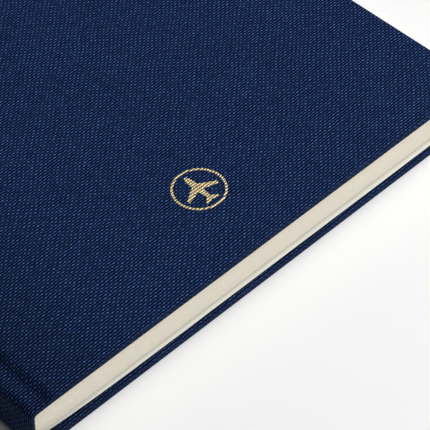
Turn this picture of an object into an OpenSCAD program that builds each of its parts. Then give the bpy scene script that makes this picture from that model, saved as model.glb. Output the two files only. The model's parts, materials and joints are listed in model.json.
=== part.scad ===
// Case-bound logbook: a sewn block of leaves in a cloth-covered case with a flat spine.
//
// Origin at the centre of the footprint on the table. +X runs from the spine to the fore
// edge, +Y from the tail to the head, +Z up. The closed book lies on its rear cover.
// Inside the modules, x is measured from the spine's outer face, y from the tail edge of
// the case and z from the table. The front cover is the rear cover mirrored top to bottom.

/* [Leaves] */
// Width of a leaf, from its fold to the fore edge
leaf_w = 148; // [130:1:180]
// Height of a leaf, from tail to head
leaf_h = 210; // [180:1:240]
// Thickness of all the sewn sections together
block_t = 10.8; // [9:0.2:16]
// Number of sewn sections
section_count = 12; // [8:1:16]
// Thickness of an endpaper
endpaper_t = 0.14; // [0.1:0.01:0.2]

/* [Case] */
// How far the case stands out past the leaves at head, tail and fore edge
square_w = 2.5; // [2:0.1:4]
// Thickness of a cover board
board_t = 1.6; // [1:0.05:2.5]
// Thickness of the covering cloth
cloth_t = 0.35; // [0.25:0.05:0.5]
// Width of the cloth turned in over the boards
turn_in_w = 15; // [10:1:20]
// Cloth left showing between a board's edge and the pastedown
paste_margin = 1.15; // [0.8:0.05:2]
// Distance from the spine's outer face to the spine side of a board
board_x = 8.8; // [8:0.2:12]
// How deep the cloth dips between the spine and a board
groove_depth = 1.05; // [0.8:0.05:1.3]
// Width of the slope from the groove up to a board's face
slope_w = 5; // [1:0.5:6]

/* [Spine] */
// Thickness of the card inside the spine
spine_card_t = 0.4; // [0.3:0.05:0.8]
// How far the card stops short of the spine's two long corners
card_inset = 0.9; // [0.2:0.1:1.5]
// Height that the spine stands below each cover's outer face
spine_drop = 1; // [0.8:0.1:1.2]
// Radius of the cloth round the spine's long corners
spine_r = 0.9; // [0.6:0.1:1]
// Thickness of the paper lining on the back of the sections
lining_t = 0.2; // [0.1:0.05:0.3]
// Thickness of the mull
mull_t = 0.15; // [0.1:0.05:0.2]
// Width of a mull flange on its board
mull_flange_w = 25; // [15:1:30]
// Diameter of the sewing thread
thread_d = 0.3; // [0.2:0.05:0.4]

/* [Emblem] */
// Outer diameter of the foil ring
emblem_d = 14.3; // [10:0.1:20]
// Distance of its centre from the spine's outer face
emblem_x = 75; // [60:0.5:90]
// Distance of its centre from the tail edge
emblem_y = 23; // [18:0.1:60]
// Width of the foil ring's line
ring_w = 0.7; // [0.4:0.1:1.2]
// Depth that the stamp presses into the cloth
stamp_depth = 0.1; // [0.05:0.01:0.2]
// Thickness of the foil
foil_t = 0.06; // [0.03:0.01:0.1]

/* [Hidden] */
$fn = 48;

// Air between neighbouring sheets that aren't glued together
air = 0.01;
// Gap between the spine card's turn-in and the lining, which opens as the book does
hollow_gap = 0.15;
// Gap between the thread and the folds, so that a turning section clears it
fold_gap = 0.1;
// Distance of the hinge axes inside the spine's wall
hinge_inset = 0.25;
// Gap past the spine's face that the open covers keep
swing_gap = 0.15;
// Shortest level stretch of groove beside the spine
groove_floor = 0.5;
// A little extra length on a cutter
cut = 1;

cover_t = 2 * cloth_t + board_t;
endpaper_pitch = endpaper_t + air;
section_pitch = block_t / section_count;
section_t = section_pitch - air;
case_t = 2 * cover_t + 4 * endpaper_pitch + block_t;
case_h = leaf_h + 2 * square_w;

spine_wall_t = 2 * cloth_t + spine_card_t;
lining_x = spine_wall_t + hollow_gap;
mull_x = lining_x + lining_t;
thread_x = mull_x + mull_t;
fold_x = thread_x + thread_d + fold_gap;
case_w = fold_x + leaf_w + square_w;

// Both hinge axes run along Y at hinge_x, each at the height of its cover's middle
hinge_x = spine_wall_t + hinge_inset;
hinge_z = (cover_t + endpaper_pitch) / 2;
// The covers start here, so that they clear the spine when they are folded right back
cover_x = 2 * hinge_x + swing_gap;
slope_x = max(board_x - slope_w, cover_x + groove_floor);
// The groove is never deeper than the board is thick, which keeps the mull flange clear
groove_z = min(groove_depth, board_t);

// Linings and mull stop short of the leaves' ends
lining_inset = 4;
mull_inset = 12;
// The mull's flanges stop short of the turned-in cloth
flange_inset = turn_in_w + 3;

// Sewing stations along the spine, as distances from the tail of the leaves: a kettle
// stitch near each end and pairs of holes between them
kettle_inset = 12;
pair_count = 3;
pair_w = 6;

// The aeroplane's length and wingspan, as a share of the ring's inner diameter
plane_share = 0.783;
plane_size = plane_share * (emblem_d - 2 * ring_w);

SECTION_NAMES = [for (i = [1:section_count]) str("section_", i < 10 ? "0" : "", i)];

cloth_colour = "#1d2d4d";
foil_colour = "#e0c27c";
leaf_colour = "#ddd5c0";
endpaper_colour = "#e3e2d8";
board_colour = "#8f8a7c";
card_colour = "#a59d8a";
mull_colour = "#d9d3bf";
lining_colour = "#b08d62";
thread_colour = "#eee9dc";

// ---------- shared shapes ----------

// Moves a shape from the case's corner to the part's frame
module in_frame() {
    translate([-case_w / 2, -case_h / 2, 0]) children();
}

// Turns a shape made for the rear cover into the front cover's
module on_front() {
    translate([0, 0, case_t]) mirror([0, 0, 1]) children();
}

// A box from its low corner to its high corner
module slab(low, high) {
    translate(low) cube(high - low);
}

// An outline in the XZ plane, extruded along Y from y0 to y1
module extrude_y(y0, y1) {
    translate([0, y1, 0]) rotate([90, 0, 0]) linear_extrude(y1 - y0) children();
}

// ---------- the block of leaves ----------

// A section is a stack of folded sheets, round along its fold. Section 1 is the front one.
module section(i) {
    top = case_t - cover_t - 2 * endpaper_pitch - (i - 1) * section_pitch;
    fold_r = section_t / 2;
    color(leaf_colour) in_frame() extrude_y(square_w, square_w + leaf_h) {
        translate([fold_x + fold_r, top - fold_r]) circle(fold_r);
        translate([fold_x + fold_r, top - section_t]) square([leaf_w - fold_r, section_t]);
    }
}

module flyleaf() {
    low_z = cover_t + endpaper_pitch;
    slab([fold_x, square_w, low_z], [fold_x + leaf_w, square_w + leaf_h, low_z + endpaper_t]);
}

module front_flyleaf() {
    color(endpaper_colour) in_frame() on_front() flyleaf();
}

module rear_flyleaf() {
    color(endpaper_colour) in_frame() flyleaf();
}

// Link stitches: upright threads across the folds at every station, joined by a short run
// of thread over each section between the two holes of a pair
module sewing_thread() {
    low_z = cover_t + 2 * endpaper_pitch + section_pitch / 2;
    high_z = case_t - low_z;
    tail_y = square_w + kettle_inset;
    pair_step = (leaf_h - 2 * kettle_inset) / (pair_count + 1);
    x = thread_x + thread_d / 2;
    color(thread_colour) in_frame() {
        for (y = [tail_y, tail_y + leaf_h - 2 * kettle_inset])
            translate([x, y, low_z]) cylinder(d = thread_d, h = high_z - low_z);
        for (p = [1:pair_count]) {
            y = tail_y + p * pair_step;
            for (side = [-1, 1])
                translate([x, y + side * pair_w / 2, low_z]) cylinder(d = thread_d, h = high_z - low_z);
            for (i = [1:section_count - 2])
                translate([x, y - pair_w / 2, low_z + i * section_pitch])
                    rotate([-90, 0, 0]) cylinder(d = thread_d, h = pair_w);
        }
    }
}

module mull() {
    low_z = cover_t + 2 * endpaper_pitch;
    y0 = square_w + mull_inset;
    color(mull_colour) in_frame()
        slab([mull_x, y0, low_z], [mull_x + mull_t, case_h - y0, case_t - low_z]);
}

module spine_lining() {
    low_z = cover_t + 2 * endpaper_pitch;
    y0 = square_w + lining_inset;
    color(lining_colour) in_frame()
        slab([lining_x, y0, low_z], [lining_x + lining_t, case_h - y0, case_t - low_z]);
}

// ---------- the spine ----------

module spine_card() {
    z0 = spine_drop + cloth_t + card_inset;
    color(card_colour) in_frame()
        slab([cloth_t, cloth_t, z0], [cloth_t + spine_card_t, case_h - cloth_t, case_t - z0]);
}

// The spine's cross-section: square inside, round at the two outer corners
module spine_outline() {
    z0 = spine_drop;
    z1 = case_t - spine_drop;
    translate([0, z0 + spine_r]) square([spine_wall_t, z1 - z0 - 2 * spine_r]);
    intersection() {
        translate([0, z0]) square([spine_wall_t, z1 - z0]);
        for (z = [z0 + spine_r, z1 - spine_r])
            translate([spine_r, z]) circle(spine_r);
    }
    if (spine_wall_t > spine_r)
        translate([spine_r, z0]) square([spine_wall_t - spine_r, z1 - z0]);
}

// Cloth round the card, turned in at the head and the tail
module spine_cloth() {
    card_z = spine_drop + cloth_t + card_inset;
    open_z = spine_drop + cloth_t;
    color(cloth_colour) in_frame() difference() {
        extrude_y(0, case_h) spine_outline();
        slab([cloth_t, cloth_t, card_z], [cloth_t + spine_card_t, case_h - cloth_t, case_t - card_z]);
        slab([cloth_t, turn_in_w, card_z], [spine_wall_t + cut, case_h - turn_in_w, case_t - card_z]);
        slab([cloth_t + spine_card_t, turn_in_w, open_z],
            [spine_wall_t + cut, case_h - turn_in_w, case_t - open_z]);
    }
}

// ---------- a cover, as the rear one lies ----------

module board() {
    slab([board_x, cloth_t, cloth_t], [case_w - cloth_t, case_h - cloth_t, cloth_t + board_t]);
}

// The cloth between the spine and the board: level in the groove, then up to the board's face
module joint_outline() {
    polygon([
        [cover_x, groove_z],
        [slope_x, groove_z],
        [board_x, 0],
        [board_x + cloth_t, 0],
        [board_x + cloth_t, cloth_t],
        [board_x, cloth_t],
        [slope_x, groove_z + cloth_t],
        [cover_x, groove_z + cloth_t]
    ]);
}

// One thickness of cloth outside the board and, turned over its three free edges, inside it
module cover_cloth() {
    inner_z = cloth_t + board_t;
    difference() {
        slab([board_x, 0, 0], [case_w, case_h, cover_t]);
        slab([board_x - cut, cloth_t, cloth_t], [case_w - cloth_t, case_h - cloth_t, inner_z]);
        slab([board_x - cut, turn_in_w, cloth_t], [case_w - turn_in_w, case_h - turn_in_w, cover_t + cut]);
    }
    extrude_y(0, case_h) joint_outline();
}

// The mull glued to the inside of the board, under the pastedown
module mull_flange() {
    z0 = cloth_t + board_t;
    slab([cover_x, flange_inset, z0], [board_x + mull_flange_w, case_h - flange_inset, z0 + mull_t]);
}

// The endpaper glued over the turned-in cloth, sunk between the turn-ins onto the board
// and, near the joint, onto the mull
module pastedown() {
    board_z = cloth_t + board_t;
    top_z = cover_t + endpaper_t;
    flange_x = board_x + mull_flange_w + air;
    pocket_y = turn_in_w + endpaper_t;
    difference() {
        union() {
            slab([cover_x, paste_margin, cover_t], [case_w - paste_margin, case_h - paste_margin, top_z]);
            slab([board_x, turn_in_w, board_z], [case_w - turn_in_w, case_h - turn_in_w, top_z]);
        }
        slab([board_x - cut, flange_inset - air, board_z - cut],
            [flange_x, case_h - flange_inset + air, board_z + mull_t]);
        slab([board_x + endpaper_t, pocket_y, board_z + mull_t + endpaper_t],
            [flange_x + endpaper_t + air, case_h - pocket_y, top_z + cut]);
        slab([flange_x + endpaper_t, pocket_y, board_z + endpaper_t],
            [case_w - turn_in_w - endpaper_t, case_h - pocket_y, top_z + cut]);
    }
}

module rear_board() {
    color(board_colour) in_frame() board();
}

module rear_cloth() {
    color(cloth_colour) in_frame() cover_cloth();
}

module rear_pastedown() {
    color(endpaper_colour) in_frame() pastedown();
}

module rear_mull_flange() {
    color(mull_colour) in_frame() mull_flange();
}

module front_board() {
    color(board_colour) in_frame() on_front() board();
}

module front_pastedown() {
    color(endpaper_colour) in_frame() on_front() pastedown();
}

module front_mull_flange() {
    color(mull_colour) in_frame() on_front() mull_flange();
}

module front_cloth() {
    color(cloth_colour) difference() {
        in_frame() on_front() cover_cloth();
        emblem(case_t - stamp_depth, stamp_depth + cut);
    }
}

// ---------- the stamped emblem: an aeroplane seen from above, in a plain ring ----------

// The right side of the aeroplane, from nose to tail. Its nose is a quarter of an ellipse.
function aeroplane_side(size) =
    let (
        body_r = 0.085 * size,
        nose_l = 0.26 * size,
        nose_y = 0.26 * size,
        nose_steps = 8
    )
    concat(
        [for (k = [0:nose_steps])
            [body_r * sin(k * 90 / nose_steps), nose_y + nose_l * cos(k * 90 / nose_steps)]],
        [[body_r, 0.16 * size], [0.5 * size, -0.1 * size], [0.5 * size, -0.19 * size]],
        [[body_r, -0.06 * size], [0.6 * body_r, -0.33 * size]],
        [[0.2 * size, -0.45 * size], [0.2 * size, -0.52 * size], [0, -0.46 * size]]
    );

module aeroplane(size) {
    right = aeroplane_side(size);
    left = [for (k = [len(right) - 2:-1:1]) [-right[k][0], right[k][1]]];
    polygon(concat(right, left));
}

module emblem_outline() {
    difference() {
        circle(d = emblem_d);
        circle(d = emblem_d - 2 * ring_w);
    }
    aeroplane(plane_size);
}

module emblem(z, height) {
    translate([emblem_x - case_w / 2, emblem_y - case_h / 2, z]) linear_extrude(height) emblem_outline();
}

module foil_emblem() {
    color(foil_colour) emblem(case_t - stamp_depth, foil_t);
}

// ---------- nodes ----------

for (i = [1:section_count])
    section(i);
front_flyleaf();
rear_flyleaf();
sewing_thread();
mull();
spine_lining();
spine_card();
spine_cloth();
front_board();
front_cloth();
front_pastedown();
front_mull_flange();
foil_emblem();
rear_board();
rear_cloth();
rear_pastedown();
rear_mull_flange();
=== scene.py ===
"""Looks of a case-bound logbook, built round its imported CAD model.

The row frame is in metres. The shape functions work in millimetres from the case's corner,
as the CAD does: x from the spine's outer face, y from the tail edge and z from the table.
"""

import json
import math

import bpy
import numpy as np
from mathutils import Euler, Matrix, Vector, noise

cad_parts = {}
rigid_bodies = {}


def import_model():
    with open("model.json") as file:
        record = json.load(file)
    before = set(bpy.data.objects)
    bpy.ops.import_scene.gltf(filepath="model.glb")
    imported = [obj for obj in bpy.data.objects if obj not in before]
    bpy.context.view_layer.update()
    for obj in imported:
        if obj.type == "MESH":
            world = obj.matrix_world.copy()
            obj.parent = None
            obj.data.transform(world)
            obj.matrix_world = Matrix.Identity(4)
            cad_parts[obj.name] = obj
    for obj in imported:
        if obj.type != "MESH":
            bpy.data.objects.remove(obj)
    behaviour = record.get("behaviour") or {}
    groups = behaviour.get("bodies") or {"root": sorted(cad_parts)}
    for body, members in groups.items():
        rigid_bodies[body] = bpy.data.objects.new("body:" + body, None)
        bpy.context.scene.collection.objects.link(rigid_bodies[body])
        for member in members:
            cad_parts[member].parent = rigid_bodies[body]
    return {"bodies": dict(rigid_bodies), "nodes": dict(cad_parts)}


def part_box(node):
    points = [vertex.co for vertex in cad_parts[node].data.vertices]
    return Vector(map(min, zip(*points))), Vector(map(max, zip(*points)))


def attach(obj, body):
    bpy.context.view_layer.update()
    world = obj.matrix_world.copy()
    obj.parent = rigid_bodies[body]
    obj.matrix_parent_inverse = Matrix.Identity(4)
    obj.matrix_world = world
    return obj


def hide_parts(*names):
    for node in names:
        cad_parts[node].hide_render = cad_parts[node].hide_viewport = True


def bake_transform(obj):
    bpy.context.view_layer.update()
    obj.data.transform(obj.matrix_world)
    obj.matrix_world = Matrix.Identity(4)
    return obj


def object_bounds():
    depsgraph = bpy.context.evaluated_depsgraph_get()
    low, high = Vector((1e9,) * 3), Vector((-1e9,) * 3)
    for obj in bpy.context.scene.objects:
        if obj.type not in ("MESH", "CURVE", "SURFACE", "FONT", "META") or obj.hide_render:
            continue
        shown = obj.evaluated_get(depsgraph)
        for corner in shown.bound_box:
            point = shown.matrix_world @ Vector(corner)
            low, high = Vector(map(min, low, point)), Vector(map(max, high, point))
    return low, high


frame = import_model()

MM = 0.001
CAD_LOW, CAD_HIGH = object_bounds()
CORNER = Vector((CAD_LOW.x, CAD_LOW.y, 0))
SEED = 7


def span(node, axis):
    """Low and high edge of a CAD node along an axis, in millimetres from the case's corner."""
    return [(corner[axis] - CORNER[axis]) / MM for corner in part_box(node)]


X, Y, Z = range(3)
CASE_W, CASE_H, CASE_T = ((CAD_HIGH[i] - CAD_LOW[i]) / MM for i in range(3))
SPINE_Z = span("spine_cloth", Z)[0]
SPINE_WALL = span("spine_cloth", X)[1]
COVER_T = span("rear_cloth", Z)[1]
BOARD_TOP = span("rear_board", Z)[1]
FLANGE_X = span("rear_mull_flange", X)[1]
FLANGE_TOP = span("rear_mull_flange", Z)[1]
PASTE_TOP = span("rear_pastedown", Z)[1]
FOLD_X, LEAF_X = span("section_01", X)
LEAF_TAIL, LEAF_HEAD = span("section_01", Y)
SECTIONS = sorted(n for n in frame["nodes"] if n.startswith("section_"))
MOVING_SECTIONS = {n: n + "_leaves" for n in SECTIONS if n + "_leaves" in frame["bodies"]}

# The cloth: its thickness, how far it turns in, and its radius round the boards' edges, at
# the boards' corners in plan and at the spine's two ends
CLOTH_T = 0.33
TURN_IN = 15
EDGE_R = 0.35
CORNER_R = 0.8
MIN_CORNER_R = 0.15
SPINE_EDGE_R = 0.22

# The spine: the radius of its long corners outside and inside, how far it curves back from
# its middle, and how much thicker its wall is than the CAD's
SPINE_R = 2.2
SPINE_INNER_R = 1.1
SPINE_BULGE = 0.3
WALL_EXTRA = 0.15

# The joint: where the cloth begins to rise, where it reaches the board's face, and how much
# shallower the joint is than the spine's drop
GROOVE_X = 4.8
BOARD_FACE_X = 7.9
GROOVE_EXTRA = 0.2

# How far the turned-in cloth is pressed into the board, and the insets where that happens
PRESS = 0.12
PRESS_START = 1.2
PRESS_W = 1.2


def smooth(t):
    """An S-shaped rise from 0 to 1 as t goes from 0 to 1."""
    t = np.clip(t, 0, 1)
    return t * t * (3 - 2 * t)


def mesh_points(xs, ys):
    """The x and y of every crossing of the lines xs and ys, row by row."""
    return (a.ravel() for a in np.meshgrid(xs, ys))


# ---------- meshes ----------


def place(points):
    """Millimetres from the case's corner to the row frame."""
    return np.asarray(points, float) * MM + np.array(CORNER)


def add_object(name, data):
    made = bpy.data.objects.new(name, data)
    bpy.context.scene.collection.objects.link(made)
    return made


def new_piece(name, points, faces, uv=None, face_uv=None, smooth_angle=40):
    """A mesh object. uv holds one pair per point, face_uv one pair per face corner."""
    mesh = bpy.data.meshes.new(name)
    mesh.from_pydata(place(points).tolist(), [], [list(map(int, f)) for f in faces])
    layer = mesh.uv_layers.new(name="UVMap")
    corners = np.zeros(len(mesh.loops), int)
    mesh.loops.foreach_get("vertex_index", corners)
    if face_uv is not None:
        values = np.array([c for f in face_uv for c in f], float)
    elif uv is not None:
        values = np.asarray(uv, float)[corners]
    else:
        values = np.asarray(points, float)[corners][:, :2]
    layer.data.foreach_set("uv", (values * MM).astype(np.float32).ravel())
    mesh.polygons.foreach_set("use_smooth", [True] * len(mesh.polygons))
    mesh.validate()
    mesh.update()
    mesh.set_sharp_from_angle(angle=math.radians(smooth_angle))
    return add_object(name, mesh)


def without_repeats(face):
    """The face with neighbouring repeats dropped, or None if no area is left."""
    kept = [v for i, v in enumerate(face) if v != face[i - 1]]
    return kept if len(kept) > 2 else None


def boundary_edges(faces):
    """Edges with a face on one side only, in that face's direction."""
    seen = {}
    for face in faces:
        for a, b in zip(face, face[1:] + face[:1]):
            seen[(a, b)] = True
    return [(a, b) for a, b in seen if (b, a) not in seen]


def shell(outside, inside, faces):
    """Closes two skins that share one layout into a solid sheet."""
    count = len(outside)
    back = [[v + count for v in reversed(f)] for f in faces]
    rim = [[b, a, a + count, b + count] for a, b in boundary_edges(faces)]
    return np.vstack([outside, inside]), faces + back + rim


def grid_faces(rows, columns):
    corners = [0, 1, columns + 1, columns]
    return [
        [r * columns + c + corner for corner in corners]
        for r in range(rows - 1)
        for c in range(columns - 1)
    ]


def flipped(faces):
    return [list(reversed(f)) for f in faces]


# ---------- the case's cloth ----------


# Straight pieces down half of the spine's wall, and round its corner
WALL_STEPS = 8
CORNER_STEPS = 9
CORNER_END = WALL_STEPS + CORNER_STEPS
# Spacing of the outline's points across the joint
JOINT_STEP = 0.1
# Past the corner, the widths over which the inside line, the joint's floor and the spine's
# curve settle
INNER_FADE = 1.5
FLOOR_FADE = 1.6
BULGE_FADE = 3


def spine_bulge(z):
    """How far the spine's wall curves in at a height."""
    return SPINE_BULGE * ((CASE_T / 2 - z) / (CASE_T / 2 - SPINE_Z)) ** 2


def spine_line(wall_x, low, radius):
    """A line down half of the spine and round its corner."""
    turn = np.linspace(0, math.pi / 2, CORNER_STEPS + 1)
    wall_z = np.linspace(CASE_T / 2, low + radius, WALL_STEPS, endpoint=False)
    bulge = spine_bulge(wall_z)
    start = wall_x + bulge[-1]
    x = np.concatenate([wall_x + bulge, start + radius * (1 - np.cos(turn))])
    return x, np.concatenate([wall_z, low + radius * (1 - np.sin(turn))])


def case_lines():
    """The rear half's outside and inside lines from the middle of the spine to the fore edge,
    point for point. Between them lie the spine card, the bare joint and the board."""
    outer_x, outer_z = spine_line(0, SPINE_Z, SPINE_R)
    inner_x, inner_z = spine_line(SPINE_WALL + WALL_EXTRA, COVER_T, SPINE_INNER_R)

    joint_x = np.arange(SPINE_R + JOINT_STEP, BOARD_FACE_X + 4 * JOINT_STEP, JOINT_STEP)
    along = np.append(joint_x, CASE_W)
    past = along - SPINE_R
    inner_start = SPINE_WALL + WALL_EXTRA + SPINE_INNER_R
    ahead = (inner_start - SPINE_R) * (1 - smooth(past / INNER_FADE))
    shift = SPINE_BULGE * (1 - smooth(past / BULGE_FADE))
    floor_z = SPINE_Z + GROOVE_EXTRA * smooth(past / FLOOR_FADE)
    outside_z = floor_z * (1 - smooth((along - GROOVE_X) / (BOARD_FACE_X - GROOVE_X)))
    inside_z = np.full(len(along), COVER_T)

    outer = np.append(outer_x, along + shift), np.append(outer_z, outside_z)
    inner = np.append(inner_x, along + ahead + shift), np.append(inner_z, inside_z)
    return *outer, *inner


LINE_X, LINE_Z, INNER_X, INNER_Z = case_lines()
LINE_S = np.concatenate([[0], np.cumsum(np.hypot(np.diff(LINE_X), np.diff(LINE_Z)))])
S_END = LINE_S[-1]
ARC_START, ARC_END = LINE_S[WALL_STEPS], LINE_S[CORNER_END]


def s_at(x):
    """Distance along the outside line at an x past the spine's corner."""
    return np.interp(x, LINE_X[CORNER_END:], LINE_S[CORNER_END:])


def thickness(s):
    """Distance from the outside line to the inside line."""
    return np.interp(s, LINE_S, np.hypot(INNER_X - LINE_X, INNER_Z - LINE_Z))


def line_point(s):
    """Place on the outside line and direction to the inside. It runs straight on past its end."""
    x, z = np.interp(s, LINE_S, LINE_X), np.interp(s, LINE_S, LINE_Z)
    way_x = np.interp(s, LINE_S, INNER_X) - x
    way_z = np.interp(s, LINE_S, INNER_Z) - z
    length = np.hypot(way_x, way_z)
    return x + np.maximum(s - S_END, 0), z, way_x / length, way_z / length


# Unevenness of the glued cloth: height, wavelengths along s and y, and a shift of the seed
WAVES = [(0.035, 21, 17, 0), (0.012, 6, 5, 9)]


def waves(s, y, seed):
    """Slight unevenness of cloth glued to board, always inwards."""
    total = 0
    for height, along, across, shift in WAVES:
        places = [Vector((a / along, b / across, seed + shift)) for a, b in zip(s, y)]
        total = total + height * (0.5 + np.array([noise.noise(place) for place in places]))
    return total


# A station of the cloth's way round an edge and over the inside is a tuple: inset and depth,
# the side that the depth is counted from, and the outward normal's parts out and inwards.
# Round the edge, inset and depth are shares of its radius; on the inside face, millimetres.
TURN_ANGLES = [22.5, 45, 67.5, 90]
EDGE_STATIONS = [
    (1 - math.sin(a), 1 - math.cos(a), 0, math.sin(a), -math.cos(a))
    for a in np.radians(TURN_ANGLES)
] + [
    (1 - math.cos(a), math.sin(a) - 1, 1, math.cos(a), math.sin(a))
    for a in np.radians([0] + TURN_ANGLES)
]
INSIDE_INSETS = [1.2, 1.6, 2, 2.4, 4, 7, 11, 14.2, TURN_IN]
INSIDE_STATIONS = [(inset, 0, 1, 0, 1) for inset in INSIDE_INSETS]

# Past the joint, the width over which the unevenness grows to its full height
BOARD_FADE = 6
TINY = 1e-6

# Rings round the edges start from the outside grid's last line, this far in, and pull the
# grid's lines towards them over a stretch
PLAN_INSET = 0.9
STRETCH = 40
CORNER_ANGLES = np.radians([22.5, 45, 67.5])
BEND = len(CORNER_ANGLES)


def squeeze(value, end, old_inset, new_inset):
    """Moves values near an end to a new inset and leaves those further in alone."""
    start = end - STRETCH
    share = np.clip((value - start) / (end - old_inset - start), 0, None)
    return np.where(value > start, start + share * (STRETCH - new_inset), value)


def inset_and_depth(station, s):
    """A station's inset and depth in millimetres, at distances along the outside line."""
    inset, depth, from_inside = station[:3]
    t = thickness(s)
    if station in INSIDE_STATIONS:
        return np.full_like(t, inset), t - PRESS * smooth((inset - PRESS_START) / PRESS_W)
    r = np.interp(s, [ARC_END, s_at(BOARD_FACE_X)], [SPINE_EDGE_R, EDGE_R])
    return inset * r, depth * r + from_inside * t


def ring_ways(columns, rows):
    """Outward direction in plan at each point of a ring, from the tail by the fore edge to
    the head."""
    sines, cosines = np.sin(CORNER_ANGLES), np.cos(CORNER_ANGLES)
    side, fore = np.zeros(len(columns)), np.ones(len(rows))
    way_s = [side, sines, fore, sines[::-1], side]
    way_y = [side - 1, -cosines, fore - 1, cosines[::-1], side + 1]
    return np.concatenate(way_s), np.concatenate(way_y)


def edge_ring(station, columns, rows):
    """Inset and depth at the fore edge, then s, y and depth of each point of a ring."""
    inset, depth = (v[0] for v in inset_and_depth(station, np.array([S_END])))
    corner_r = max(CORNER_R - inset, MIN_CORNER_R)
    reach = inset + corner_r
    side_s = squeeze(columns, S_END, PLAN_INSET, reach)
    side_inset, side_depth = inset_and_depth(station, side_s)
    from_middle = rows - CASE_H / 2
    fore_inset = squeeze(np.abs(from_middle), CASE_H / 2, PLAN_INSET, reach)
    fore_y = CASE_H / 2 + np.sign(from_middle) * fore_inset
    arc_s = S_END - reach + corner_r * np.sin(CORNER_ANGLES)
    arc_y = reach - corner_r * np.cos(CORNER_ANGLES)
    fore_s = np.full(len(rows), S_END - inset)
    s = [side_s, arc_s, fore_s, arc_s[::-1], side_s[::-1]]
    y = [side_inset, arc_y, fore_y, CASE_H - arc_y[::-1], CASE_H - side_inset[::-1]]
    d = [side_depth, np.full(2 * BEND + len(rows), depth), side_depth[::-1]]
    return inset, depth, np.concatenate(s), np.concatenate(y), np.concatenate(d)


def case_cloth(name, columns, rows, seed, sink=None):
    """Cloth over one cover and half the spine: outside, round the edges and turned in.
    columns are distances along the outside line, rows are y."""
    nc, nr = len(columns), len(rows)
    grid_s, grid_y = mesh_points(columns, rows)
    s, y, u, v = [grid_s], [grid_y], [grid_s], [grid_y]
    depth = [np.zeros(nc * nr)]
    normal = [np.tile([0.0, 0.0, -1.0], (nc * nr, 1))]
    faces = grid_faces(nr, nc)

    tail = list(range(nc))
    fore = [r * nc + nc - 1 for r in range(nr)]
    head = [(nr - 1) * nc + c for c in reversed(range(nc))]
    rim = tail + [tail[-1]] * BEND + fore + [fore[-1]] * BEND + head
    way_s, way_y = ring_ways(columns, rows)
    ring, last_inset, last_depth, arc = rim, PLAN_INSET, 0.0, 0.0
    for index, station in enumerate(EDGE_STATIONS + INSIDE_STATIONS):
        inset, ring_depth, *places = edge_ring(station, columns, rows)
        arc += math.hypot(inset - last_inset, ring_depth - last_depth)
        last_inset, last_depth = inset, ring_depth
        for parts, part in zip((s, y, depth), places):
            parts.append(part)
        u.append(grid_s[rim] + way_s * arc)
        v.append(grid_y[rim] + way_y * arc)
        out, inwards = station[3:]
        normal.append(np.column_stack([way_s * out, way_y * out, np.full(len(rim), inwards)]))
        first = nc * nr + index * len(rim)
        new_ring = list(range(first, first + len(rim)))
        quads = zip(ring[1:], ring, new_ring, new_ring[1:])
        faces += filter(None, (without_repeats(list(quad)) for quad in quads))
        ring = new_ring

    s, y, depth, normal = (np.concatenate(parts) for parts in (s, y, depth, normal))
    on_board = smooth((np.interp(s, LINE_S, LINE_X) - BOARD_FACE_X) / BOARD_FADE)
    outside = depth < TINY
    sunk = np.where(outside, on_board * waves(s, y, seed), 0)
    if sink is not None:
        sunk = sunk + np.where(outside, sink(s, y), 0)

    def skin(offset):
        at_s, at_y, inwards = (part - offset * n for part, n in zip((s, y, depth), normal.T))
        x, z, way_x, way_z = line_point(at_s)
        d = inwards + sunk
        return np.column_stack([x + way_x * d, at_y, z + way_z * d])

    points, faces = shell(skin(0), skin(CLOTH_T), faces)
    uv = np.column_stack([np.concatenate(u), np.concatenate(v)])
    return name, points, faces, np.vstack([uv, uv])


# The outside grid's lines near an edge, as distances in from it
EDGE_LINES = np.array([PLAN_INSET, 1.4, 2, 3])


def grid_lines(parts):
    """The parts' values in order, each once."""
    return np.unique(np.round(np.concatenate(parts), 4))


def cover_columns(extra=()):
    """Distances along the outside line of the grid's columns, closest where it bends."""
    spine = np.linspace(0, ARC_START, 9)
    corner = np.linspace(ARC_START, ARC_END, 10)
    joint = s_at(np.arange(SPINE_R + SPINE_BULGE + 0.15, 3.0, 0.15))
    groove = s_at(np.arange(3.1, 11.4, 0.3))
    board = s_at(np.linspace(12.5, CASE_W - 4, 56))
    return grid_lines([spine, corner, joint, groove, board, S_END - EDGE_LINES, extra])


def cover_rows(extra=()):
    board = np.linspace(4.5, CASE_H - 4.5, 78)
    return grid_lines([EDGE_LINES, board, CASE_H - EDGE_LINES, extra])


# ---------- the stamped emblem: an aeroplane seen from above, in a plain ring ----------

EMBLEM_X = sum(span("foil_emblem", X)) / 2
EMBLEM_LOW, EMBLEM_HIGH = span("foil_emblem", Y)
EMBLEM_Y = (EMBLEM_LOW + EMBLEM_HIGH) / 2
EMBLEM_R = (EMBLEM_HIGH - EMBLEM_LOW) / 2
RING_W = 0.7
PLANE_SIZE = 2 * EMBLEM_R - 6 * RING_W
# How deep the stamp presses, how far the pressed part reaches past the foil, and the width of
# its soft shoulder
STAMP = 0.09
STAMP_MARGIN = 0.05
STAMP_SHOULDER = 0.35
# Spacing of the cloth's grid under the stamp, and how far past the ring it goes on
STAMP_STEP = 0.25
STAMP_REACH = 0.6
# The foil's thickness, how far it stands up in the hollow, and how far its ring stays inside
# the hollow's
FOIL_T = 0.04
FOIL_LIFT = 0.03
FOIL_INSET = 0.04
RING_POINTS = 120


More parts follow.
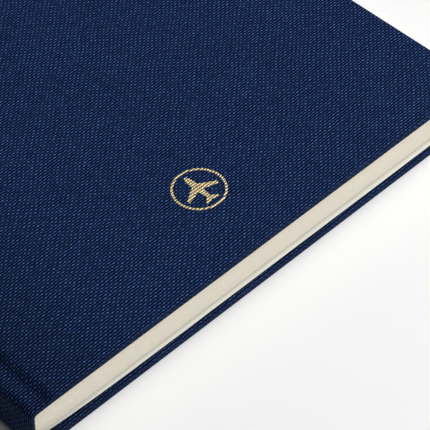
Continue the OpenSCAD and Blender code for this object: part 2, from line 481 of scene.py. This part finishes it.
def aeroplane_outline(size):
    """The same outline as the CAD's: a rounded nose, swept wings and a tailplane."""
    body = 0.085 * size
    turns = np.linspace(0, math.pi / 2, 9)
    nose = [(body * math.sin(a), size * (0.26 + 0.26 * math.cos(a))) for a in turns]
    rest = [(0.085, 0.16), (0.5, -0.1), (0.5, -0.19), (0.085, -0.06), (0.051, -0.33)]
    rest += [(0.2, -0.45), (0.2, -0.52), (0, -0.46)]
    right = nose + [(size * x, size * y) for x, y in rest]
    left = [(-x, y) for x, y in reversed(right[1:-1])]
    return np.array(right + left)


def distance_to_outline(points, outline):
    """Distance of points to a closed outline, negative inside."""
    a, b = outline, np.roll(outline, -1, axis=0)
    nearest = np.full(len(points), 1e9)
    inside = np.zeros(len(points), bool)
    for p, q in zip(a, b):
        way = q - p
        t = np.clip(((points - p) @ way) / (way @ way), 0, 1)
        nearest = np.minimum(nearest, np.linalg.norm(points - p - t[:, None] * way, axis=1))
        crosses = (p[1] > points[:, 1]) != (q[1] > points[:, 1])
        rise = way[1] if abs(way[1]) > TINY else TINY
        inside ^= crosses & (points[:, 0] < p[0] + way[0] * (points[:, 1] - p[1]) / rise)
    return np.where(inside, -nearest, nearest)


def stamp_sink(s, y):
    """How far the stamp presses the cloth in, with a soft shoulder round the foil."""
    x = np.interp(s, LINE_S, LINE_X) - EMBLEM_X
    points = np.column_stack([x, y - EMBLEM_Y])
    radius = np.hypot(*points.T)
    near = radius < EMBLEM_R + 1
    gap = np.abs(radius - EMBLEM_R + RING_W / 2) - RING_W / 2
    to_plane = distance_to_outline(points[near], aeroplane_outline(PLANE_SIZE))
    gap[near] = np.minimum(gap[near], to_plane)
    return STAMP * (1 - smooth((gap - STAMP_MARGIN) / STAMP_SHOULDER)) * near


def foil_piece():
    """The foil, a thin plate in the stamped hollow."""
    angles = np.linspace(0, 2 * math.pi, RING_POINTS, endpoint=False)
    radii = [EMBLEM_R - FOIL_INSET, EMBLEM_R - RING_W + FOIL_INSET]
    ring = [(r * math.cos(a), r * math.sin(a)) for r in radii for a in angles]
    outline = aeroplane_outline(PLANE_SIZE)
    faces = []
    for i in range(RING_POINTS):
        after = (i + 1) % RING_POINTS
        faces.append([RING_POINTS + i, RING_POINTS + after, after, i])
    faces.append([len(ring) + i for i in reversed(range(len(outline)))])
    flat = np.vstack([ring, outline]) + [EMBLEM_X, EMBLEM_Y]
    upper = np.column_stack([flat, np.full(len(flat), CASE_T - STAMP + FOIL_LIFT)])
    points, faces = shell(upper, upper - [0, 0, FOIL_T], faces)
    uv = np.column_stack([s_at(points[:, 0]), points[:, 1]])
    return new_piece("foil_stamp", points, faces, uv)


# ---------- endpapers ----------

# Cloth left showing beside the pasted endpaper, and the paper's thickness
MARGIN = 1.1
PAPER_T = 0.13
GLUE_T = 0.02
# Widths over which the pastedown steps down from the turned-in cloth and from the mull, and
# where and over what width it comes out of the joint
TURN_IN_STEP = 1.3
FLANGE_STEP = 1.2
GUTTER_X = 3.2
GUTTER_STEP = 3
# Height of the unevenness of the paper's cut edge, and its wavelength
RAGGED = 0.03
RAGGED_LENGTH = 9


def pastedown_top(x, y):
    """Height of the pasted endpaper: over the turned-in cloth at the rim, lower on the board."""
    inset = np.minimum(np.minimum(y, CASE_H - y), CASE_W - x)
    on_board = smooth((inset - TURN_IN + 0.3) / TURN_IN_STEP)
    past_flange = smooth((x - FLANGE_X + 0.2) / FLANGE_STEP)
    board = BOARD_TOP + PAPER_T + GLUE_T + (FLANGE_TOP - BOARD_TOP) * (1 - past_flange)
    past_gutter = smooth((x - GUTTER_X) / GUTTER_STEP)
    rim = PASTE_TOP - PRESS * smooth((inset - PRESS_START) / PRESS_W)
    return rim + (board - rim) * on_board * past_gutter


def tail_margin(x):
    """Cloth left showing at the tail. The sheet draws in towards the joint."""
    return 1.0 + 0.25 * (1 - x / CASE_W) + 1.5 * math.exp(-x / 12)


def pastedown(name):
    """The endpaper pasted on the rear board, with its grid closest where it steps."""
    xs = np.concatenate([
        np.arange(FOLD_X, 5, 0.25),
        np.arange(5, 12, 0.7),
        np.linspace(13, FLANGE_X - 1.5, 8),
        np.linspace(FLANGE_X - 0.6, FLANGE_X + 1.4, 6),
        np.linspace(FLANGE_X + 4, CASE_W - 18, 24),
        np.linspace(CASE_W - 16.4, CASE_W - 13.4, 8),
        np.linspace(CASE_W - 11, CASE_W - MARGIN, 6),
    ])
    side = np.concatenate([np.linspace(0, 1.5, 5), np.linspace(3, 11, 4), np.linspace(12.2, 15.4, 9)])
    shares = np.linspace(0, 1, 40)[1:-1]
    rows = []
    for x in xs:
        tail, head = tail_margin(x) + side, CASE_H - MARGIN - side[::-1]
        y = np.concatenate([tail, tail[-1] + (head[0] - tail[-1]) * shares, head])
        for end, place in ((0, 0), (-1, CASE_H)):
            spot = Vector((x / RAGGED_LENGTH, place / RAGGED_LENGTH, 4))
            y[end] += RAGGED * noise.noise(spot)
        at = np.full_like(y, x)
        rows.append(np.column_stack([at, y, pastedown_top(at, y)]))
    top = np.vstack(rows)
    faces = flipped(grid_faces(len(rows), len(rows[0])))
    points, faces = shell(top, top - [0, 0, PAPER_T], faces)
    return name, points, faces


def turned_over(points):
    """Mirrors points made for the rear cover into the front cover's place."""
    return np.column_stack([points[:, 0], points[:, 1], CASE_T - points[:, 2]])


def flyleaf(name, trim):
    """A sheet cut smaller than the leaves by the trim, which leaves a dark line beside them."""
    fore = LEAF_X - trim
    xs = np.concatenate([
        np.arange(FOLD_X, 6, 0.4), np.linspace(6.5, 12, 6), np.linspace(16, fore, 16),
    ])
    ys = np.linspace(LEAF_TAIL + trim, LEAF_HEAD - trim, 20)
    low, high = span(name, Z)
    x, y = mesh_points(xs, ys)
    top = np.column_stack([x, y, np.full_like(x, high)])
    points, faces = shell(top, top - [0, 0, high - low], grid_faces(len(ys), len(xs)))
    return new_piece(name + "_sheet", points, faces, smooth_angle=60)


# The curved card: its thickness, and how much it is smaller than the CAD's card outside, at
# its long edges and at its ends
CARD_T = 0.38
CARD_GAP = 0.01
CARD_INSET = 1.6
CARD_END = 0.1


def curved_card():
    """The spine card, bent to the spine's slight curve."""
    low_y, high_y = span("spine_card", Y)
    low_z, high_z = span("spine_card", Z)
    ys = np.linspace(low_y + CARD_END, high_y - CARD_END, 24)
    zs = np.linspace(low_z + CARD_INSET, high_z - CARD_INSET, 13)
    y, z = mesh_points(ys, zs)
    outer = np.column_stack([span("spine_card", X)[0] + CARD_GAP + spine_bulge(z), y, z])
    faces = flipped(grid_faces(len(zs), len(ys)))
    points, faces = shell(outer, outer + [CARD_T, 0, 0], faces)
    return new_piece("curved_spine_card", points, faces)


# ---------- sections ----------

# Folded sheets in a section, the share of the space that their paper fills, and how much
# the leaves' cut edges differ
SHEETS = 4
LEAF_SHARE = 0.94
EDGE_SHIFT = 0.035
# Radius of the innermost fold
MIN_FOLD_R = 0.004
# Places of a section's points, past its fold and then from the spine's face: closest where
# its leaves bend as they turn
NEAR_FOLD = [0.5, 1.1]
LEAF_LINES = [4.4, 5, 5.7, 6.5, 7.4, 8.5, 10, 14, 24, 45, 75, 110, 135]
# The cut edges' coordinates lie this far below zero, which is how the paper tells them
CUT_SHIFT = 1


def folded_line(centre, r, ends):
    """One skin of a folded sheet, seen from the tail: x and the height from its middle."""
    arc = np.linspace(-math.pi / 2, math.pi / 2, 9)
    line_x = np.concatenate([np.add(centre, NEAR_FOLD), LEAF_LINES])
    height = np.full(len(line_x) + 1, r)
    lower = np.column_stack([np.append(line_x, ends[0])[::-1], -height])
    turn = np.column_stack([centre - r * np.cos(arc), r * np.sin(arc)])
    upper = np.column_stack([np.append(line_x, ends[1]), height])
    return np.vstack([lower, turn, upper])


def folded_sheet(loop, middle, ys):
    """Faces of a folded sheet, whose points are one loop per y, and their coordinates."""
    count, half_count = len(loop), len(loop) // 2
    faces, face_uv = [], []
    for r in range(len(ys) - 1):
        for c in range(count):
            d = (c + 1) % count
            places = [(c, r), (d, r), (d, r + 1), (c, r + 1)]
            faces.append([j * count + i for i, j in places])
            if c in (half_count - 1, count - 1):
                face_uv.append([(-ys[j] - CUT_SHIFT, middle + loop[i, 1]) for i, j in places])
            else:
                face_uv.append([(loop[i, 0], ys[j]) for i, j in places])
    for r, turn in ((0, 1), (len(ys) - 1, -1)):
        for c in range(half_count - 1):
            e = count - 1 - c
            corners = [c, e, e - 1, c + 1][::turn]
            faces.append([r * count + i for i in corners])
            face_uv.append([(-loop[i, 0] - CUT_SHIFT, middle + loop[i, 1]) for i in corners])
    return faces, face_uv


def section_piece(node, rng):
    """A section: folded sheets nested in each other, every leaf with its own cut edge."""
    low, high = span(node, Z)
    middle, half = (low + high) / 2, (high - low) / 2
    pitch = half / SHEETS
    ys = np.linspace(LEAF_TAIL, LEAF_HEAD, 12)
    points, faces, face_uv = [], [], []
    for k in range(SHEETS):
        ends = [LEAF_X + rng.uniform(-EDGE_SHIFT, 0) for _ in range(2)]
        tails = [LEAF_TAIL + rng.uniform(0, EDGE_SHIFT) for _ in range(2)]
        heads = [LEAF_HEAD - rng.uniform(0, EDGE_SHIFT) for _ in range(2)]
        outer_r = half - k * pitch
        inner_r = max(outer_r - LEAF_SHARE * pitch, MIN_FOLD_R)
        outer, inner = (folded_line(FOLD_X + half, r, ends) for r in (outer_r, inner_r))
        loop = np.vstack([outer, inner[::-1]])
        sheet_faces, sheet_uv = folded_sheet(loop, middle, ys)
        first = sum(len(p) for p in points)
        faces += [[first + i for i in face] for face in sheet_faces]
        face_uv += sheet_uv
        share = smooth((loop[:, 1] + half) / (2 * half))
        rows = [np.full(len(loop), y) for y in ys]
        rows[0] = tails[0] + (tails[1] - tails[0]) * share
        rows[-1] = heads[0] + (heads[1] - heads[0]) * share
        points += [np.column_stack([loop[:, 0], y, middle + loop[:, 1]]) for y in rows]
    points = np.vstack(points)
    return new_piece(node + "_leaves", points, faces, face_uv=face_uv, smooth_angle=50)


# ---------- materials ----------


class Graph:
    """A material's nodes, with a short call for each kind that is used here."""

    def __init__(self, name):
        self.material = bpy.data.materials.new(name)
        self.material.use_nodes = True
        self.tree = self.material.node_tree
        self.tree.nodes.clear()
        self.shader = self.node("ShaderNodeBsdfPrincipled")
        output = self.node("ShaderNodeOutputMaterial")
        self.tree.links.new(self.shader.outputs["BSDF"], output.inputs["Surface"])

    def node(self, kind, **settings):
        made = self.tree.nodes.new(kind)
        for key, value in settings.items():
            setattr(made, key, value)
        return made

    def put(self, socket, value):
        if isinstance(value, bpy.types.NodeSocket):
            self.tree.links.new(value, socket)
        else:
            socket.default_value = value

    def math(self, operation, *values):
        made = self.node("ShaderNodeMath", operation=operation)
        for socket, value in zip(made.inputs, values):
            self.put(socket, value)
        return made.outputs[0]

    def coordinates(self, kind="UV"):
        return self.node("ShaderNodeTexCoord").outputs[kind]

    def split(self, vector):
        made = self.node("ShaderNodeSeparateXYZ")
        self.put(made.inputs[0], vector)
        return made.outputs

    def join(self, x, y, z=0.0):
        made = self.node("ShaderNodeCombineXYZ")
        for socket, value in zip(made.inputs, (x, y, z)):
            self.put(socket, value)
        return made.outputs[0]

    def scaled(self, vector, scale):
        made = self.node("ShaderNodeVectorMath", operation="MULTIPLY")
        self.put(made.inputs[0], vector)
        made.inputs[1].default_value = scale
        return made.outputs[0]

    def noise(self, vector, scale, detail=2.0, roughness=0.5):
        made = self.node("ShaderNodeTexNoise")
        self.put(made.inputs["Vector"], vector)
        made.inputs["Scale"].default_value = scale
        made.inputs["Detail"].default_value = detail
        made.inputs["Roughness"].default_value = roughness
        return made.outputs["Fac"]

    def random(self, value):
        made = self.node("ShaderNodeTexWhiteNoise", noise_dimensions="1D")
        self.put(made.inputs["W"], value)
        return made.outputs["Value"]

    def remap(self, value, low, high, to_low=0.0, to_high=1.0, smooth_step=False):
        made = self.node("ShaderNodeMapRange")
        made.interpolation_type = "SMOOTHSTEP" if smooth_step else "LINEAR"
        for socket, v in zip(made.inputs, (value, low, high, to_low, to_high)):
            self.put(socket, v)
        return made.outputs[0]

    def mix(self, share, a, b):
        made = self.node("ShaderNodeMix", data_type="RGBA")
        self.put(made.inputs[0], share)
        for socket, value in zip((made.inputs[6], made.inputs[7]), (a, b)):
            self.put(socket, (*value, 1) if isinstance(value, tuple) else value)
        return made.outputs[2]

    def bump(self, height, distance, strength=1.0):
        made = self.node("ShaderNodeBump")
        made.inputs["Strength"].default_value = strength
        made.inputs["Distance"].default_value = distance
        self.put(made.inputs["Height"], height)
        self.put(self.shader.inputs["Normal"], made.outputs[0])

    def surface(self, **values):
        for key, value in values.items():
            socket = self.shader.inputs[key.replace("_", " ")]
            self.put(socket, (*value, 1) if isinstance(value, tuple) and len(value) == 3 else value)
        return self.material


# The weave: thread spacing, the weft's slant, and how the threads wander. A long drift takes
# both sets of threads with it and a short wander takes each by itself, in threads.
WARP_PITCH = 0.80 * MM
WEFT_PITCH = 0.735 * MM
WEAVE_SKEW = math.tan(math.radians(1.3))
DRIFT_SCALE = 90
WARP_DRIFT, WEFT_DRIFT = 1.6, -1.1
WARP_WANDER_SCALE, WARP_WANDER = 420, 0.9
WEFT_WANDER_SCALE, WEFT_WANDER = 380, 0.7
# How much of a thread's relief stays at a crossing's two ends
LOW_RELIEF = 0.7


def weave(g, vector):
    """Plain weave, with the weft threads along X. Gives the upper thread's relief, 0 in the
    gaps and 1 on its crown, the share of weft on top, and a random value for each row of
    weft and for each crossing."""
    x, y, _ = g.split(vector)
    drift = g.noise(vector, DRIFT_SCALE, 2)

    def threads(place, pitch, drifted, wander_scale, wander):
        count = g.math("MULTIPLY_ADD", place, 1 / pitch, g.math("MULTIPLY", drift, drifted))
        return g.math("MULTIPLY_ADD", g.noise(vector, wander_scale, 2), wander, count)

    skewed = g.math("MULTIPLY_ADD", x, -WEAVE_SKEW, y)
    a = threads(x, WARP_PITCH, WARP_DRIFT, WARP_WANDER_SCALE, WARP_WANDER)
    b = threads(skewed, WEFT_PITCH, WEFT_DRIFT, WEFT_WANDER_SCALE, WEFT_WANDER)
    sine_a, sine_b = (g.math("SINE", g.math("MULTIPLY", count, math.pi)) for count in (a, b))
    is_weft = g.remap(g.math("MULTIPLY", sine_a, sine_b), -0.3, 0.3)
    in_column, in_row = g.math("ABSOLUTE", sine_a), g.math("ABSOLUTE", sine_b)
    along = g.math("MULTIPLY_ADD", in_column, 1 - LOW_RELIEF, LOW_RELIEF)
    relief = g.math("MULTIPLY", g.math("POWER", in_row, 0.9), along)
    row, column = g.math("FLOOR", b), g.math("FLOOR", a)
    crossing = g.math("MULTIPLY_ADD", row, 57.3, g.math("MULTIPLY", column, 13.7))
    return relief, is_weft, g.random(row), g.random(crossing)


# The threads' colours: painted shade in the gaps, where the cloth is rubbed, the two sets of threads,
# and painted highlights on the crowns of the brightest ones
NAVY_PAINTED_SHADE = (0.0004, 0.0008, 0.0030)
NAVY_RUBBED = (0.009, 0.012, 0.026)
NAVY_WARP = (0.010, 0.026, 0.090)
NAVY_WEFT = (0.018, 0.052, 0.188)
NAVY_HIGHLIGHT_VIOLET = (0.105, 0.165, 0.520)
NAVY_HIGHLIGHT_TEAL = (0.053, 0.205, 0.510)
# What makes one thread's painted crown highlight brighter than another's: thick places along it,
# patches of the cloth, its row and its crossing
SLUB_SCALE = (450, 1500, 1)
SLUB, BLOTCH, BY_ROW, BY_CROSSING = 1.9, 0.4, 0.15, 0.9
# Painted shade towards the spine: darkest at the spine and none past this distance along the cloth
SPINE_SHADE = 0.38
SPINE_SHADE_START, SPINE_SHADE_END = 2 * MM, 50 * MM
# Rubbed dull round the edges, and none past this inset
RUBBED = 0.32
RUBBED_START, RUBBED_END = -0.3 * MM, 0.4 * MM


def from_edge(g, from_fore, y):
    """Distance in from the nearest of the case's fore edge, tail and head."""
    from_middle = g.math("ABSOLUTE", g.math("SUBTRACT", y, CASE_H / 2 * MM))
    from_end = g.math("SUBTRACT", CASE_H / 2 * MM, from_middle)
    return g.math("MINIMUM", from_end, from_fore)


def cloth_colour(g, vector):
    """The cloth's colour with painted shade in the gaps and towards the spine and painted highlights
    on the crowns, and its relief for the bump. The coordinates are distances along the cloth from
    the spine's middle and from the tail."""
    relief, is_weft, row_random, crossing_random = weave(g, vector)
    slub = g.noise(g.scaled(vector, SLUB_SCALE), 1, 2)
    blotch = g.noise(vector, 60, 3)
    lift = g.math("MULTIPLY_ADD", slub, SLUB, g.math("MULTIPLY", blotch, BLOTCH))
    lift = g.math("MULTIPLY_ADD", row_random, BY_ROW, lift)
    lift = g.math("MULTIPLY_ADD", crossing_random, BY_CROSSING, lift)
    thread = g.mix(is_weft, NAVY_WARP, NAVY_WEFT)
    # Painted highlight: the threads' crowns, mostly the weft's, lightened towards a bright violet and
    # teal
    crown = g.remap(relief, 0.66, 1, smooth_step=True)
    crown = g.math("MULTIPLY", crown, g.math("MULTIPLY_ADD", is_weft, 0.75, 0.25))
    hue = g.remap(g.noise(vector, 700, 2), 0.35, 0.65)
    top = g.mix(hue, NAVY_HIGHLIGHT_VIOLET, NAVY_HIGHLIGHT_TEAL)
    thread = g.mix(g.math("MULTIPLY", crown, g.remap(lift, 1.2, 2.4)), thread, top)

    x, y, _ = g.split(vector)
    from_spine = g.math("ABSOLUTE", x)
    # Painted shade: the cloth darkened towards the spine
    spine_shade = g.remap(from_spine, SPINE_SHADE_START, SPINE_SHADE_END, SPINE_SHADE, 0.0, smooth_step=True)
    thread = g.mix(spine_shade, thread, NAVY_PAINTED_SHADE)
    inset = from_edge(g, g.math("SUBTRACT", S_END * MM, from_spine), y)
    rubbed = g.remap(inset, RUBBED_START, RUBBED_END, RUBBED, 0.0)
    thread = g.mix(rubbed, thread, NAVY_RUBBED)
    # Painted shade: darker towards the gaps between threads, where the relief is low
    return g.mix(g.remap(relief, 0.40, 0.97, smooth_step=True), NAVY_PAINTED_SHADE, thread), relief


def cloth_material():
    g = Graph("navy_book_cloth")
    vector = g.coordinates()
    colour, height = cloth_colour(g, vector)
    fuzz = g.noise(vector, 5200, 2, 0.7)
    g.bump(g.math("MULTIPLY_ADD", fuzz, 0.25, height), 0.14 * MM)
    rough = g.remap(height, 0.2, 1, 0.9, 0.65)
    return g.surface(Base_Color=colour, Roughness=rough, Specular_IOR_Level=0.05)


GOLD_DARK, GOLD_LIGHT = (0.80, 0.58, 0.25), (1.0, 0.86, 0.52)


def foil_material():
    """Foil that has taken on the threads' crowns and left the gaps between them bare."""
    g = Graph("pale_gold_foil")
    vector = g.coordinates()
    colour, height = cloth_colour(g, vector)
    worn = g.noise(vector, 1500, 2)
    cover = g.remap(g.math("MULTIPLY_ADD", worn, 0.4, height), 0.5, 0.75, smooth_step=True)
    gold = g.mix(g.noise(vector, 900, 2), GOLD_DARK, GOLD_LIGHT)
    g.bump(height, 0.12 * MM)
    rough = g.remap(worn, 0.2, 0.8, 0.28, 0.48)
    return g.surface(
        Base_Color=g.mix(cover, colour, gold), Roughness=rough,
        Metallic=g.math("MULTIPLY", cover, 0.75),
    )


# The painted shadow line on the endpapers along the block's edges: its middle's inset, its strength,
# the distances from its middle between which it fades, and its colour
SHADOW_LINE_INSET = 2.45 * MM
SHADOW_LINE_STRENGTH = 0.3
SHADOW_LINE_CORE, SHADOW_LINE_REACH = 0.2 * MM, 0.7 * MM
SHADOW_LINE_COLOUR = (0.36, 0.33, 0.25)
# The cut edges of the leaves
CUT_LIGHT, CUT_DARK = (0.83, 0.780, 0.668), (0.75, 0.695, 0.580)
# The ruled pages: spacing and width of the lines, and the area that they fill
RULE_COLOUR = (0.42, 0.52, 0.55)
RULE_STRENGTH = 0.7
RULE_W = 0.22 * MM
ROW_PITCH, COLUMN_PITCH = 7 * MM, 18.5 * MM
RULED_X, RULED_Y = (16 * MM, 142 * MM), (14 * MM, 196 * MM)


def painted_shadow_line(g, x, y):
    """Strength of the painted shadow line on the endpapers along the block's edges."""
    inset = from_edge(g, g.math("SUBTRACT", CASE_W * MM, x), y)
    off = g.math("ABSOLUTE", g.math("SUBTRACT", inset, SHADOW_LINE_INSET))
    return g.remap(off, SHADOW_LINE_CORE, SHADOW_LINE_REACH, SHADOW_LINE_STRENGTH, 0.0, smooth_step=True)


def ruled_colour(g, x, y, colour):
    """Thin ruled rows and columns inside a margin, as in any log's pages."""

    def lines(value, pitch):
        share = g.math("FRACT", g.math("DIVIDE", value, pitch))
        return g.math("LESS_THAN", share, RULE_W / pitch)

    def between(value, low, high):
        above, below = g.math("GREATER_THAN", value, low), g.math("LESS_THAN", value, high)
        return g.math("MULTIPLY", above, below)

    area = g.math("MULTIPLY", between(x, *RULED_X), between(y, *RULED_Y))
    grid = g.math("MAXIMUM", lines(y, ROW_PITCH), lines(x, COLUMN_PITCH))
    share = g.math("MULTIPLY", g.math("MULTIPLY", grid, area), RULE_STRENGTH)
    return g.mix(share, colour, RULE_COLOUR)


def paper_material(name, light, dark, ruled=False):
    """Uncoated paper, with ruled pages and cut edges or with a painted shadow line along the block's
    edges.
    On a cut edge x is negative, and y is the height from the table."""
    g = Graph(name)
    vector = g.coordinates()
    x, y, _ = g.split(vector)
    fibre = g.noise(g.scaled(vector, (1, 1.6, 1)), 1800, 3, 0.6)
    cloud = g.noise(vector, 70, 2)
    tone = g.math("MULTIPLY_ADD", fibre, 0.45, g.math("MULTIPLY", cloud, 0.55))
    colour = g.mix(g.remap(tone, 0.3, 0.7), dark, light)
    height = fibre
    if ruled:
        cut = g.remap(x, -0.8 * MM, -0.2 * MM, 1.0, 0.0)
        stretched = g.join(g.math("MULTIPLY", x, 25), g.math("MULTIPLY", y, 8000))
        streak = g.noise(stretched, 1, 3, 0.7)
        cut_colour = g.mix(g.remap(streak, 0.3, 0.7), CUT_DARK, CUT_LIGHT)
        colour = g.mix(cut, ruled_colour(g, x, y, colour), cut_colour)
        height = g.math("MULTIPLY_ADD", g.math("MULTIPLY", streak, cut), 3.0, fibre)
    else:
        # Painted shadow: a dark line on the endpapers along the block's edges
        colour = g.mix(painted_shadow_line(g, x, y), colour, SHADOW_LINE_COLOUR)
    g.bump(height, 0.02 * MM, 0.6)
    return g.surface(Base_Color=colour, Roughness=0.88, Specular_IOR_Level=0.25)


SPECK_COLOUR = (0.12, 0.10, 0.08)


def board_material(name, light, dark, scale):
    """Grey board or card: short fibres and dark specks."""
    g = Graph(name)
    vector = g.coordinates("Object")
    fibre = g.noise(g.scaled(vector, (1, 1, 4)), scale, 4, 0.7)
    speck = g.remap(g.noise(vector, 2.5 * scale, 1), 0.66, 0.72)
    colour = g.mix(g.remap(fibre, 0.35, 0.65), dark, light)
    colour = g.mix(g.math("MULTIPLY", speck, 0.5), colour, SPECK_COLOUR)
    g.bump(fibre, 0.05 * MM)
    return g.surface(Base_Color=colour, Roughness=0.92)


def wave(g, value, length):
    return g.math("SINE", g.math("MULTIPLY", value, 2 * math.pi / length))


GAUZE_PITCH = 0.9 * MM
PLY_PITCH = 0.6 * MM


def gauze_material():
    """Mull: an open weave of thin threads, with glue between them."""
    g = Graph("mull_gauze")
    vector = g.coordinates("Object")
    x, y, z = g.split(vector)
    across, along = (
        g.remap(wave(g, value, GAUZE_PITCH), 0.2, 0.8) for value in (g.math("ADD", x, z), y)
    )
    threads = g.math("MAXIMUM", across, along)
    colour = g.mix(threads, (0.50, 0.43, 0.31), (0.82, 0.78, 0.68))
    g.bump(threads, 0.06 * MM)
    return g.surface(Base_Color=colour, Roughness=0.9)


def kraft_material():
    """Brown paper with long fibres along the spine."""
    g = Graph("kraft_lining")
    vector = g.coordinates("Object")
    laid = g.noise(g.scaled(vector, (1, 0.15, 1)), 2500, 3, 0.6)
    colour = g.mix(g.remap(laid, 0.3, 0.7), (0.36, 0.23, 0.12), (0.52, 0.36, 0.21))
    g.bump(laid, 0.03 * MM)
    return g.surface(Base_Color=colour, Roughness=0.85)


def thread_material():
    """Waxed linen: two plies twisted together."""
    g = Graph("linen_thread")
    x, y, z = g.split(g.coordinates("Object"))
    turn = g.math("ADD", g.math("ADD", x, y), z)
    ply = wave(g, turn, PLY_PITCH)
    colour = g.mix(g.remap(ply, -1, 1), (0.62, 0.56, 0.45), (0.90, 0.86, 0.77))
    g.bump(ply, 0.03 * MM)
    return g.surface(Base_Color=colour, Roughness=0.6)


def floor_material():
    g = Graph("pale_floor")
    grain = g.noise(g.coordinates("Object"), 40, 3)
    colour = g.mix(grain, (0.875, 0.875, 0.875), (0.895, 0.895, 0.895))
    return g.surface(Base_Color=colour, Roughness=0.9, Specular_IOR_Level=0.1)


def dress(piece, material):
    piece.data.materials.clear()
    piece.data.materials.append(material)
    return piece


CLOTH = cloth_material()
FOIL = foil_material()
LEAF = paper_material("cream_leaf_paper", (0.85, 0.815, 0.73), (0.81, 0.77, 0.68), ruled=True)
ENDPAPER = paper_material("off_white_endpaper", (0.775, 0.765, 0.715), (0.735, 0.725, 0.675))
BOARD = board_material("grey_binders_board", (0.50, 0.47, 0.41), (0.36, 0.34, 0.29), 900)
CARD = board_material("spine_card", (0.60, 0.54, 0.43), (0.48, 0.43, 0.33), 1500)


# ---------- the case ----------

TEXT, FRONT, REAR = "text_block", "front_cover", "rear_cover"
FRONT_SEED, REAR_SEED = 3, 5
# How much smaller than the leaves each flyleaf is cut
FRONT_TRIM, REAR_TRIM = 0.1, 1.2


def bend(piece):
    """Bakes the piece's transform into its mesh."""
    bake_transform(piece)


def add_case():
    reach = EMBLEM_R + STAMP_REACH
    fine = np.arange(-reach, reach + 0.01, STAMP_STEP)
    columns, rows = cover_columns(s_at(EMBLEM_X + fine)), cover_rows(EMBLEM_Y + fine)
    name, points, faces, uv = case_cloth("front_half_cloth", columns, rows, FRONT_SEED, stamp_sink)
    front = new_piece(name, turned_over(points), faces, uv)
    name, points, faces, uv = case_cloth("rear_half_cloth", cover_columns(), cover_rows(), REAR_SEED)
    rear = new_piece(name, points, flipped(faces), uv * [-1, 1])
    for piece, body, nodes, z in (
        (front, FRONT, ["front_cloth", "spine_cloth"], CASE_T - SPINE_Z),
        (rear, REAR, ["rear_cloth", "spine_cloth"], SPINE_Z),
    ):
        dress(piece, CLOTH)
        bend(piece)
        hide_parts(*nodes)


def add_endpapers():
    name, points, faces = pastedown("rear_pastedown_sheet")
    rear = new_piece(name, points, faces, smooth_angle=60)
    name, points, faces = pastedown("front_pastedown_sheet")
    front = new_piece(name, turned_over(points), flipped(faces), smooth_angle=60)
    for piece, body, z in ((front, FRONT, CASE_T - PASTE_TOP), (rear, REAR, PASTE_TOP)):
        dress(piece, ENDPAPER)
        bend(piece)
        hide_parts(piece.name.replace("_sheet", ""))
    sheet = dress(flyleaf("front_flyleaf", FRONT_TRIM), ENDPAPER)
    bend(sheet)
    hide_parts("front_flyleaf")
    sheet = dress(flyleaf("rear_flyleaf", REAR_TRIM), ENDPAPER)
    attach(sheet, TEXT)
    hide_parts("rear_flyleaf")


def add_sections():
    rng = np.random.default_rng(SEED)
    for node in SECTIONS:
        piece = dress(section_piece(node, rng), LEAF)
        if node in MOVING_SECTIONS:
            bend(piece)
        else:
            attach(piece, TEXT)
        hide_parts(node)


def add_card():
    card = dress(curved_card(), CARD)
    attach(card, TEXT)
    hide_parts("spine_card")


def add_foil():
    foil = dress(foil_piece(), FOIL)
    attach(foil, FRONT)
    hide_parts("foil_emblem")


def dress_cad_nodes():
    gauze, kraft, thread = gauze_material(), kraft_material(), thread_material()
    looks = {
        "front_board": BOARD, "rear_board": BOARD, "mull": gauze,
        "front_mull_flange": gauze, "rear_mull_flange": gauze, "spine_lining": kraft,
        "sewing_thread": thread,
    }
    for node, material in looks.items():
        dress(frame["nodes"][node], material)


# ---------- the studio ----------

CAMERA_AT = Vector((-0.23486, -0.34056, 0.38286))
CAMERA_AIM = Vector((-0.00463, -0.09358, 0.0160))
CAMERA_ROLL = math.radians(-1.67)
CAMERA_LENS = 171.43
FLOOR_HALF = 3.0
WORLD_COLOUR = (0.95, 0.97, 1, 1)
WORLD_STRENGTH = 0.07


def add_camera():
    data = bpy.data.cameras.new("camera")
    data.lens = CAMERA_LENS
    data.sensor_width = 36
    data.clip_start = 0.01
    camera = add_object("camera", data)
    turn = (CAMERA_AIM - CAMERA_AT).to_track_quat("-Z", "Y").to_matrix()
    camera.rotation_euler = (turn @ Euler((0, 0, CAMERA_ROLL)).to_matrix()).to_euler()
    camera.location = CAMERA_AT
    bpy.context.scene.camera = camera


def add_light(name, azimuth, elevation, distance, size, power):
    """A square softbox aimed at the book. Azimuth is from +X towards +Y."""
    data = bpy.data.lights.new(name, "AREA")
    data.shape = "SQUARE"
    data.size = size
    data.energy = power
    light = add_object(name, data)
    a, e = math.radians(azimuth), math.radians(elevation)
    way = Vector((math.cos(e) * math.cos(a), math.cos(e) * math.sin(a), math.sin(e)))
    light.location = way * distance
    light.rotation_euler = way.to_track_quat("Z", "Y").to_euler()


def add_studio():
    mesh = bpy.data.meshes.new("floor")
    corners = [(-1, -1), (1, -1), (1, 1), (-1, 1)]
    mesh.from_pydata([(FLOOR_HALF * x, FLOOR_HALF * y, 0) for x, y in corners], [], [[0, 1, 2, 3]])
    floor = dress(add_object("floor", mesh), floor_material())
    world = bpy.data.worlds.new("studio")
    world.use_nodes = True
    background = world.node_tree.nodes["Background"]
    background.inputs["Color"].default_value = WORLD_COLOUR
    background.inputs["Strength"].default_value = WORLD_STRENGTH
    bpy.context.scene.world = world
    bpy.context.scene.view_settings.view_transform = "Standard"
    add_light("key", azimuth=-57, elevation=43, distance=1.5, size=1.2, power=20.0)
    add_light("side", azimuth=-5, elevation=38, distance=1.2, size=0.8, power=6.5)
    add_light("top", azimuth=-90, elevation=84, distance=1.5, size=1.0, power=3)


add_camera()
add_studio()
add_card()
add_case()
add_endpapers()
add_sections()
add_foil()
dress_cad_nodes()
